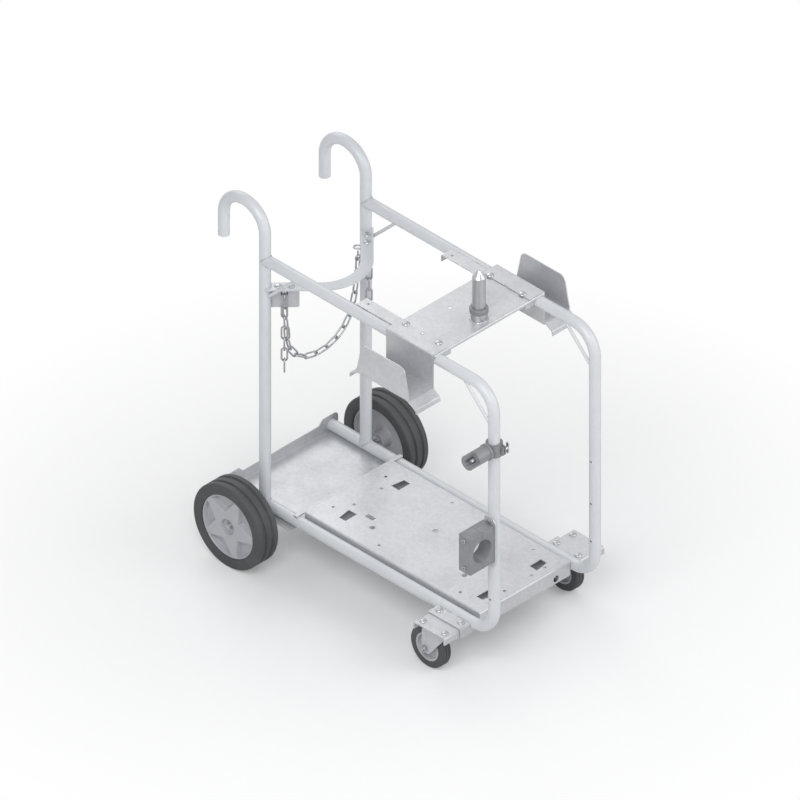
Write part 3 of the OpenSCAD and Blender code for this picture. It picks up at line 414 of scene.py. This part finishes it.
def sweep(path, radii, sides=10, closed=False):
    """A round bar along a path, with a radius for each point, and flat ends if it is open."""
    count = len(path)
    tangents = []
    for i in range(count):
        before = path[i - 1] if closed or i else path[i]
        after = path[(i + 1) % count] if closed or i < count - 1 else path[i]
        tangents.append((after - before).normalized())
    normal = tangents[0].orthogonal().normalized()
    points, faces = [], []
    for i in range(count):
        normal = (normal - tangents[i] * normal.dot(tangents[i])).normalized()
        side = tangents[i].cross(normal)
        for k in range(sides):
            a = 2 * math.pi * k / sides
            points.append(path[i] + radii[i] * (normal * math.cos(a) + side * math.sin(a)))
    for i in range(count if closed else count - 1):
        j = (i + 1) % count
        shift = 0
        if closed and j == 0:
            shift = min(range(sides), key=lambda s: (points[i * sides] - points[s]).length)
        for k in range(sides):
            near = (i * sides + k, i * sides + (k + 1) % sides)
            far = (j * sides + (k + 1 + shift) % sides, j * sides + (k + shift) % sides)
            faces.append(near + far)
    if not closed:
        faces.append(tuple(reversed(range(sides))))
        faces.append(tuple(range((count - 1) * sides, count * sides)))
    return points, faces


def lathe(profile, place, segments=96):
    """Turns (radius, height) points round the Z axis of a place; the profile is closed."""
    count = len(profile)
    points = [place @ Vector((r * math.cos(a), r * math.sin(a), z))
              for a in (2 * math.pi * s / segments for s in range(segments)) for r, z in profile]
    faces = []
    for s in range(segments):
        n = (s + 1) % segments
        for k in range(count):
            m = (k + 1) % count
            faces.append((s * count + k, n * count + k, n * count + m, s * count + m))
    return points, faces


def weld_bead(curve, radius, closed, pitch=0.0022):
    """A bead with ripples along a curve of points; an open bead thins out at its ends."""
    ripple = 0.10
    drift, drift_rate = 0.05, 0.137
    end_points, end_share = 3, 0.35
    path, radii = [], []
    total = 0.0
    count = len(curve)
    for i in range(count if closed else count - 1):
        a, b = curve[i], curve[(i + 1) % count]
        length = (b - a).length
        steps = max(1, round(length / (pitch / 2)))
        for k in range(steps):
            path.append(a.lerp(b, k / steps))
            phase = (total + length * k / steps) / pitch * 2 * math.pi
            swell = 1 + ripple * math.sin(phase) + drift * math.sin(phase * drift_rate)
            radii.append(radius * swell)
        total += length
    if not closed:
        path.append(curve[-1])
        radii.append(radius)
        for i in range(end_points):
            k = math.sqrt((i + end_share) / end_points)
            radii[i] *= k
            radii[-1 - i] *= k
    return sweep(path, radii, 8, closed)


def bar_meets_tube(start, direction, bar_r, centre, axis, tube_r, side, steps=56):
    """Points where a round bar's surface meets a tube's, on the side of 1 or -1 along the bar."""
    e1 = direction.orthogonal().normalized()
    e2 = direction.cross(e1)
    flat_d = direction - axis * direction.dot(axis)
    found = []
    for i in range(steps):
        t = 2 * math.pi * i / steps
        q = start + bar_r * (e1 * math.cos(t) + e2 * math.sin(t))
        w = q - centre
        w -= axis * w.dot(axis)
        a, b, c = flat_d.dot(flat_d), 2 * w.dot(flat_d), w.dot(w) - tube_r**2
        root = math.sqrt(max(0.0, b * b - 4 * a * c))
        found.append(q + direction * ((-b + side * root) / (2 * a)))
    return found


def soft_edges(node, name, material, width, segments=2, angle=28, shortest=0.0):
    """A copy of a CAD node with its sharp edges broken, in place of the node."""
    same_point = 1e-6
    same_plane = math.radians(0.6)
    roundness = 0.6
    mesh = frame["nodes"][node].data.copy()
    mesh.name = name
    work = bmesh.new()
    work.from_mesh(mesh)
    bmesh.ops.remove_doubles(work, verts=work.verts, dist=same_point)
    bmesh.ops.dissolve_limit(work, angle_limit=same_plane, verts=work.verts, edges=work.edges)
    sharp = [e for e in work.edges if len(e.link_faces) == 2 and e.calc_face_angle(0) > math.radians(angle)
             and e.calc_length() > shortest]
    bmesh.ops.bevel(work, geom=sharp, offset=width, segments=segments, profile=roundness, affect="EDGES",
                    clamp_overlap=True)
    work.to_mesh(mesh)
    work.free()
    piece = add_piece(name, mesh, material, body_of(node), (node,), 35)
    even = piece.modifiers.new("even_faces", "WEIGHTED_NORMAL")
    even.keep_sharp = True
    even.weight = 100
    return piece


FASTENER_EDGE = 0.00035


def crisp_fasteners(nodes):
    """Fasteners with their hexagons' edges slightly broken, so that each shows as a line."""
    for node in nodes:
        soft_edges(node, node + "_turned", zinc_fastener(), FASTENER_EDGE, 1)


# One operator for each piece or group of like pieces


class Dresser(bpy.types.Operator):
    """Shared by the operators below"""

    bl_options = {"REGISTER", "UNDO"}


class TROLLEY_OT_tubes(Dresser):
    """Paint the tubes, braces and cradle, and close the hooks' ends with plastic caps"""

    bl_idname = "trolley.tubes"
    bl_label = "Frame Tubes"

    def execute(self, context):
        coat(["side_tube_right", "side_tube_left", "rear_upright_right", "rear_upright_left"], paint())
        coat(["corner_braces", "bottle_cradle"], paint())
        profile = self.cap_profile(context.scene.trolley_detail.cap_dome)
        caps = []
        for side in ("right", "left"):
            low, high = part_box("rear_upright_" + side)
            end = Matrix.Translation((low.x + TUBE_R, (low.y + high.y) / 2, self.hook_end(side)))
            caps.append(lathe(profile, end, 48))
        add_piece("hook_caps", joined("hook_caps", caps), dark_moulding(), "frame")
        return {"FINISHED"}

    def cap_profile(self, rise):
        """A shallow dome below the tube's end and a plug up into its bore."""
        axis_r, lip_r, plug_r = 0.0001, 0.0146, 0.01385
        lip_top, step_top, plug_top = 0.002, 0.0021, 0.012
        dome = [(axis_r, -rise), (0.008, -rise * 0.9), (0.0125, -rise * 0.6), (lip_r, 0.0)]
        plug = [(lip_r, lip_top), (plug_r, step_top), (plug_r, plug_top), (axis_r, plug_top)]
        return dome + plug

    def hook_end(self, side):
        """Height of the open end of a hook."""
        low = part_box("rear_upright_" + side)[0]
        mesh = frame["nodes"]["rear_upright_" + side].data
        return min(v.co.z for v in mesh.vertices if v.co.x < low.x + 2 * TUBE_R)


BRACE_BEAD_PITCH = 0.0016


class TROLLEY_OT_welds(Dresser):
    """Lay the weld beads where tubes, rods and brackets meet"""

    bl_idname = "trolley.welds"
    bl_label = "Weld Beads"

    def execute(self, context):
        detail = context.scene.trolley_detail
        beads = []
        for s in (-1, 1):
            y = s * SIDE_Y
            crossing = Vector((UPRIGHT_X, y, TOP_Z))
            curve = bar_meets_tube(crossing, X, TUBE_R, crossing, Z, TUBE_R, 1)
            beads.append(weld_bead(curve, detail.weld, True))
            crossing = Vector((UPRIGHT_X, y, RAIL_Z))
            curve = bar_meets_tube(crossing, Z, TUBE_R, crossing, X, TUBE_R, 1)
            beads.append(weld_bead(curve, detail.weld, True))
            for x, direction in ((UPRIGHT_X, 1), (FRONT_X, -1)):
                start = Vector((x, y, TOP_Z - BRACE_REACH))
                along = Vector((direction, 0, 1)).normalized()
                for centre, axis, side in ((start, Z, 1), (Vector((x, y, TOP_Z)), X, -1)):
                    curve = bar_meets_tube(start, along, BRACE_R, centre, axis, TUBE_R, side, 28)
                    beads.append(weld_bead(curve, detail.brace_weld, True, BRACE_BEAD_PITCH))
        beads += self.castor_beads(detail.weld * 0.8)
        beads += self.cradle_beads(detail.weld * 0.75)
        add_piece("frame_welds", joined("frame_welds", beads), weld_steel(), "frame")
        plate = self.boss_beads(detail.weld)
        plate += self.strip_beads(detail.weld * 0.7)
        plate += self.axle_beads(detail.weld)
        add_piece("plate_welds", joined("plate_welds", plate), zinc_fastener(), "frame")
        return {"FINISHED"}

    def castor_beads(self, radius):
        """Two beads where the top of each castor strip meets its rail."""
        low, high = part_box("castor_strips")
        seam_out = 0.01505
        shares = (0.06, 0.42), (0.58, 0.94)
        beads = []
        for s in (-1, 1):
            y = s * (SIDE_Y + seam_out)
            for a, b in shares:
                x0 = low.x + (high.x - low.x) * a
                x1 = low.x + (high.x - low.x) * b
                beads.append(weld_bead([Vector((x0, y, high.z)), Vector((x1, y, high.z))], radius, False))
        return beads

    def cradle_beads(self, radius):
        """An arc of bead round each rear upright, on top of the cradle's end."""
        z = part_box("bottle_cradle")[1].z
        middle, first, step, count = 45, -62, 10.3, 13
        beads = []
        for s in (-1, 1):
            arc = []
            for i in range(count):
                a = math.radians(first + step * i + middle)
                x = UPRIGHT_X + TUBE_R * math.cos(a)
                y = s * (-SIDE_Y + TUBE_R * math.sin(a))
                arc.append(Vector((x, y, z)))
            beads.append(weld_bead(arc, radius, False))
        return beads

    def boss_beads(self, radius):
        """A bead all round the foot of the pivot boss."""
        low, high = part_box("pivot_boss")
        centre = (low + high) / 2
        r = (high.x - low.x) / 2
        count = 48
        ring = []
        for i in range(count):
            a = 2 * math.pi * i / count
            ring.append(Vector((centre.x + r * math.cos(a), centre.y + r * math.sin(a), low.z)))
        return [weld_bead(ring, radius, True)]

    def strip_beads(self, radius):
        """Two short beads along each rail strip, on the side of its rail."""
        low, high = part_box("rail_strips")
        seam_in, drop, length = 0.0095, 0.0012, 0.03
        z = high.z - drop
        beads = []
        for s in (-1, 1):
            y = s * (SIDE_Y - seam_in)
            for x in (low.x + 0.02, low.x + 0.085):
                beads.append(weld_bead([Vector((x, y, z)), Vector((x + length, y, z))], radius, False))
        return beads

    def axle_beads(self, radius):
        """Four short beads on each side of the axle, under the tray."""
        low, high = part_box("axle")
        seam, drop, length = 0.0075, 0.0008, 0.035
        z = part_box("bottle_tray")[0].z - drop
        beads = []
        for s in (-1, 1):
            x = (low.x + high.x) / 2 + s * seam
            for y in (-0.17, -0.06, 0.05, 0.14):
                beads.append(weld_bead([Vector((x, y, z)), Vector((x, y + length, z))], radius, False))
        return beads


class TROLLEY_OT_sheet_parts(Dresser):
    """Break the edges of the deck, tray, bars and plates, and give them their zinc"""

    bl_idname = "trolley.sheet_parts"
    bl_label = "Sheet Parts"

    def execute(self, context):
        edge = context.scene.trolley_detail.edge
        for node in ("deck", "bottle_tray", "deck_stop_bar", "bridge_plate", "cable_holder_right",
                     "cable_holder_left", "castor_bracket_right", "castor_bracket_left", "castor_strips",
                     "rail_strips", "cradle_brackets", "clamp_back_plate"):
            soft_edges(node, node + "_sheet", zinc_sheet(), edge)
        coat(["deck_bearers"], zinc_sheet())
        return {"FINISHED"}


# The star rim: radii from its axis and heights from the tyre's middle, in metres
RIM_SEGMENTS = 300
RIM_TURN = math.radians(33)
RIM_ARMS = 5
RIM_BORE_R = 0.00808
RIM_HUB_R = 0.0212
RIM_HUB_FOOT_R = 0.0235
RIM_HUB_SLOPE = 0.0023
RIM_HUB_FACE = 0.023
RIM_FACE = 0.031
RIM_LIP_R = 0.0915
RIM_LIP_CURVE = 500

# The rim's pockets, in metres: each lies between two arms of the star
POCKET_TIP_R = 0.0455
POCKET_CORNER_R = 0.088
POCKET_LIMIT_R = 0.0885
POCKET_DEPTH = 0.0148
POCKET_DRAFT = 0.0052
POCKET_ROUND = 0.0008
ARM_HALF_WIDTH = 0.0092


class TROLLEY_OT_rear_wheels(Dresser):
    """Mould the star rims and finish the tyres, the axle and its washers"""

    bl_idname = "trolley.rear_wheels"
    bl_label = "Rear Wheels"

    def execute(self, context):
        coat(["rear_tyre_right", "rear_tyre_left"], tyre_rubber())
        coat(["axle", "axle_washers", "axle_clips"], zinc_fastener())
        for side in ("right", "left"):
            self.star_rim(side)
        return {"FINISHED"}

    def star_rim(self, side):
        """A moulded rim whose five pockets have drafted walls and soft edges."""
        node = "rear_rim_" + side
        low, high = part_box(node)
        centre = (low + high) / 2
        outward = -1 if side == "right" else 1
        tyre_low, tyre_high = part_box("rear_tyre_" + side)
        middle_y = (tyre_low.y + tyre_high.y) / 2
        # Turns the rim's own Z axis to point out of the wheel's side
        turn = Matrix(((1, 0, 0, 0), (0, 0, outward, 0), (0, 1, 0, 0), (0, 0, 0, 1)))
        place = Matrix.Translation((centre.x, middle_y, centre.z)) @ turn
        edge = (high.z - low.z) / 2
        angles = [2 * math.pi * s / RIM_SEGMENTS for s in range(RIM_SEGMENTS)]
        rings = [[(r, a, self.rim_height(r, a - RIM_TURN)) for a in angles] for r in self.front_radii(edge)]
        rings += [[(r, a, z) for a in angles] for r, z in self.back_profile(edge)]
        points = []
        for ring in rings:
            points += [place @ Vector((r * math.cos(a), r * math.sin(a), z)) for r, a, z in ring]
        faces = []
        for i in range(len(rings)):
            here = i * RIM_SEGMENTS
            there = (i + 1) % len(rings) * RIM_SEGMENTS
            for s in range(RIM_SEGMENTS):
                n = (s + 1) % RIM_SEGMENTS
                if outward < 0:
                    faces.append((here + s, there + s, there + n, here + n))
                else:
                    faces.append((here + s, here + n, there + n, there + s))
        name = "star_rim_" + side
        mesh = new_mesh(name, points, faces)
        piece = add_piece(name, mesh, rim_moulding(), body_of(node), (node,), 42)
        work = bmesh.new()
        work.from_mesh(piece.data)
        bmesh.ops.recalc_face_normals(work, faces=work.faces)
        work.to_mesh(piece.data)
        work.free()

    def front_radii(self, edge):
        """Radii of the front's rings: close together at each step, and even across the pockets."""
        hub = [RIM_BORE_R, 0.012, 0.0165, 0.0195, 0.0208, RIM_HUB_R, 0.0222, RIM_HUB_FOOT_R, 0.026, 0.030]
        pockets = [0.032 + 0.0012 * i for i in range(44)]
        lip = [0.0848, 0.086, 0.0872, 0.0882, 0.0892, 0.0902, RIM_LIP_R, 0.0922, 0.0929, edge]
        return hub + pockets + lip

    def back_profile(self, edge):
        """Radius and height along the rim's back, from its edge to the bore."""
        return [(edge, -0.026), (edge - 0.005, -0.026), (edge - 0.009, -0.014), (0.058, -0.004),
                (0.027, -0.004), (0.024, -0.008), (0.024, -0.0315), (0.0235, -0.032), (RIM_BORE_R, -0.032)]

    def rim_height(self, r, a):
        """Height of the rim's outer face at a radius and an angle from a pocket's middle."""
        if r < RIM_HUB_R:
            return RIM_HUB_FACE
        if r < RIM_HUB_FOOT_R:
            return RIM_HUB_FACE + (RIM_FACE - RIM_HUB_FACE) * (r - RIM_HUB_R) / RIM_HUB_SLOPE
        if r > RIM_LIP_R:
            return RIM_FACE - RIM_LIP_CURVE * (r - RIM_LIP_R) ** 2
        step = 2 * math.pi / RIM_ARMS
        a = (a + step / 2) % step - step / 2
        across = r * math.sin(abs(a))
        along = r * math.cos(a)
        # A pocket's wall runs from its tip, near the hub, to its corner, at the rim
        tip = Vector((POCKET_TIP_R, 0.0))
        corner_a = math.pi / RIM_ARMS - math.asin(ARM_HALF_WIDTH / POCKET_CORNER_R)
        corner = Vector((POCKET_CORNER_R * math.cos(corner_a), POCKET_CORNER_R * math.sin(corner_a)))
        wall = (corner - tip).normalized()
        inward = Vector((wall.y, -wall.x))
        depth_in = min((Vector((along, across)) - tip).dot(inward), POCKET_LIMIT_R - r)
        t = max(0.0, min(1.0, (depth_in + POCKET_ROUND) / POCKET_DRAFT))
        return RIM_FACE - POCKET_DEPTH * t * t * (3 - 2 * t)


class TROLLEY_OT_castors(Dresser):
    """Finish the castors, their plates, pins and bolts"""

    bl_idname = "trolley.castors"
    bl_label = "Castors"

    def execute(self, context):
        coat(["castor_tyre_right", "castor_tyre_left"], tyre_rubber())
        coat(["castor_hub_right", "castor_hub_left"], rim_moulding())
        coat(["kingpins"], zinc_fastener())
        crisp_fasteners(["castor_axle_right", "castor_axle_left", "castor_bolts", "flange_nuts"])
        edge = context.scene.trolley_detail.edge
        for node in ("castor_plate_right", "castor_plate_left", "castor_fork_right", "castor_fork_left"):
            soft_edges(node, node + "_pressing", zinc_sheet(), edge * 0.8)
        return {"FINISHED"}


class TROLLEY_OT_pivot(Dresser):
    """Finish the feeder pin, its boss and its collar, and the bolts of the bridge"""

    bl_idname = "trolley.pivot"
    bl_label = "Feeder Pivot"

    def execute(self, context):
        coat(["feeder_pin", "pivot_boss"], turned_steel())
        coat(["pivot_collar"], dark_moulding())
        crisp_fasteners(["holder_bolts", "holder_screws"])
        return {"FINISHED"}


class TROLLEY_OT_chain(Dresser):
    """Finish the chain, its eye and the cradle's bolts"""

    bl_idname = "trolley.chain"
    bl_label = "Chain"

    def execute(self, context):
        coat(["chain_eye", "anchor_links", "chain_run", "chain_tail", "chain_spare"], chain_steel())
        crisp_fasteners(["cradle_bolts"])
        return {"FINISHED"}


class TROLLEY_OT_cable_clamp(Dresser):
    """Round the edges of the cable clamp's halves and finish its screws"""

    bl_idname = "trolley.cable_clamp"
    bl_label = "Cable Clamp"

    def execute(self, context):
        edge = context.scene.trolley_detail.edge
        for node in ("clamp_inner_half", "clamp_outer_half"):
            soft_edges(node, node + "_moulding", dark_moulding(), edge * 1.8, 3,
                       shortest=edge * 3)
        crisp_fasteners(["clamp_screws", "clamp_fixings"])
        return {"FINISHED"}


class TROLLEY_OT_torch_rest(Dresser):
    """Round the torch rest's mouldings and finish its screws"""

    bl_idname = "trolley.torch_rest"
    bl_label = "Torch Rest"

    def execute(self, context):
        edge = context.scene.trolley_detail.edge
        for node in ("rest_ring", "rest_arm"):
            soft_edges(node, node + "_moulding", dark_moulding(), edge * 1.5, 3)
        crisp_fasteners(["rest_wing_screw", "rest_bolt"])
        return {"FINISHED"}


class TROLLEY_OT_stage(Dresser):
    """Set the pale floor, the soft lamps and the isometric camera"""

    bl_idname = "trolley.stage"
    bl_label = "Stage"

    def execute(self, context):
        settings = context.scene.trolley_stage
        self.floor(settings)
        # Each lamp's power, place and size, in watts and metres
        self.lamp("key_lamp", settings.key_power, (1.6, -2.6, 3.2), 2.6)
        self.lamp("fill_lamp", settings.fill_power, (2.8, 1.6, 2.0), 2.4)
        self.lamp("rear_lamp", settings.fill_power * 0.7, (-2.6, 1.2, 2.6), 2.2)
        self.world()
        self.camera(context)
        context.scene.view_settings.view_transform = "Standard"
        return {"FINISHED"}

    def floor(self, settings):
        """A wide pale floor that fades to plain white away from the trolley's shadow."""
        reach = 9
        fade_from, fade_to, least_white = 0.3, 1.4, 0.08
        corners = [(-reach, -reach, 0), (reach, -reach, 0), (reach, reach, 0), (-reach, reach, 0)]
        mesh = new_mesh("floor", corners, [(0, 1, 2, 3)])
        floor = bpy.data.objects.new("floor", mesh)
        bpy.context.scene.collection.objects.link(floor)
        material = bpy.data.materials.new("studio_floor")
        material.use_nodes = True
        shader = Shader(material.node_tree)
        principled = material.node_tree.nodes["Principled BSDF"]
        principled.inputs["Roughness"].default_value = 0.9
        speck = shader.noise(30.0, 4.0, 0.5)
        specks = shader.spread(speck, 0.3, 0.7)
        shown = shader.mix(specks, opaque(settings.floor), opaque(settings.floor, 0.985))
        shader.link(shown, principled.inputs["Base Color"])
        place = shader.add("ShaderNodeTexCoord").outputs["Object"]
        distance = shader.add("ShaderNodeVectorMath", operation="LENGTH")
        shader.link(place, distance.inputs[0])
        share = shader.spread(distance.outputs["Value"], fade_from, fade_to, least_white, 1.0)
        self.whiten(shader, principled, material.node_tree.nodes["Material Output"], share)
        mesh.materials.append(material)

    def whiten(self, shader, lit, output, share):
        """Mixes plain white into what the camera, reflections and glass see."""
        in_material = output.bl_idname == "ShaderNodeOutputMaterial"
        white = shader.add("ShaderNodeEmission" if in_material else "ShaderNodeBackground")
        white.inputs["Color"].default_value = (1, 1, 1, 1)
        white.inputs["Strength"].default_value = 1.0
        seen = shader.add("ShaderNodeLightPath")
        shown = shader.maths("MAXIMUM", seen.outputs["Is Camera Ray"], seen.outputs["Is Glossy Ray"])
        shown = shader.maths("MAXIMUM", shown, seen.outputs["Is Transmission Ray"])
        blend = shader.add("ShaderNodeMixShader")
        shader.link(shader.maths("MULTIPLY", shown, share), blend.inputs[0])
        shader.link(lit.outputs[0], blend.inputs[1])
        shader.link(white.outputs[0], blend.inputs[2])
        shader.link(blend.outputs[0], output.inputs["Surface"])

    def lamp(self, name, power, place, size):
        """A soft round lamp that points at the middle of the trolley."""
        light = bpy.data.lights.new(name, "AREA")
        light.energy = power
        light.shape = "DISK"
        light.size = size
        lamp = bpy.data.objects.new(name, light)
        bpy.context.scene.collection.objects.link(lamp)
        lamp.location = place
        middle = Vector((0, 0, 0.45))
        lamp.rotation_euler = (middle - Vector(place)).to_track_quat("-Z", "Y").to_euler()

    def world(self):
        """A cool, even light from all round, seen as plain white."""
        world = bpy.data.worlds.new("studio")
        bpy.context.scene.world = world
        world.use_nodes = True
        shader = Shader(world.node_tree)
        nodes = world.node_tree.nodes
        soft = nodes["Background"]
        soft.inputs["Color"].default_value = (0.95, 0.97, 1.0, 1)
        soft.inputs["Strength"].default_value = 0.42
        self.whiten(shader, soft, nodes["World Output"], 1.0)

    def camera(self, context):
        """The photograph's view: true isometric, 45 degrees round and 35.26 degrees up."""
        data = bpy.data.cameras.new("view_camera")
        data.type = "ORTHO"
        data.ortho_scale = 2.0903
        data.clip_end = 30
        camera = bpy.data.objects.new("view_camera", data)
        context.scene.collection.objects.link(camera)
        back = Vector((1, -1, 1)).normalized()
        aim = Vector((-0.0318, -0.0103, 0.552))
        distance = 5
        camera.location = aim + back * distance
        camera.rotation_euler = (-back).to_track_quat("-Z", "Y").to_euler()
        context.scene.camera = camera


PIECES = (TROLLEY_OT_tubes, TROLLEY_OT_welds, TROLLEY_OT_sheet_parts, TROLLEY_OT_rear_wheels,
          TROLLEY_OT_castors, TROLLEY_OT_pivot, TROLLEY_OT_chain, TROLLEY_OT_cable_clamp,
          TROLLEY_OT_torch_rest, TROLLEY_OT_stage)


class TROLLEY_PT_panel(bpy.types.Panel):
    """Lists the trolley's pieces and sizes"""

    bl_idname = "TROLLEY_PT_panel"
    bl_label = "Wire Feeder Trolley"
    bl_space_type = "VIEW_3D"
    bl_region_type = "UI"
    bl_category = "Trolley"

    def draw(self, context):
        scene = context.scene
        for settings in (scene.trolley_finish, scene.trolley_detail, scene.trolley_stage):
            box = self.layout.box()
            for name in settings.__annotations__:
                box.prop(settings, name)
        for piece in PIECES:
            self.layout.operator(piece.bl_idname)


CLASSES = (TrolleyFinish, TrolleyDetail, TrolleyStage) + PIECES + (TROLLEY_PT_panel,)


def register():
    for cls in CLASSES:
        bpy.utils.register_class(cls)
    bpy.types.Scene.trolley_finish = PointerProperty(type=TrolleyFinish)
    bpy.types.Scene.trolley_detail = PointerProperty(type=TrolleyDetail)
    bpy.types.Scene.trolley_stage = PointerProperty(type=TrolleyStage)


def unregister():
    del bpy.types.Scene.trolley_stage
    del bpy.types.Scene.trolley_detail
    del bpy.types.Scene.trolley_finish
    for cls in reversed(CLASSES):
        bpy.utils.unregister_class(cls)


def main():
    register()
    bpy.ops.trolley.tubes()
    bpy.ops.trolley.welds()
    bpy.ops.trolley.sheet_parts()
    bpy.ops.trolley.rear_wheels()
    bpy.ops.trolley.castors()
    bpy.ops.trolley.pivot()
    bpy.ops.trolley.chain()
    bpy.ops.trolley.cable_clamp()
    bpy.ops.trolley.torch_rest()
    bpy.ops.trolley.stage()


if __name__ == "__main__":
    main()
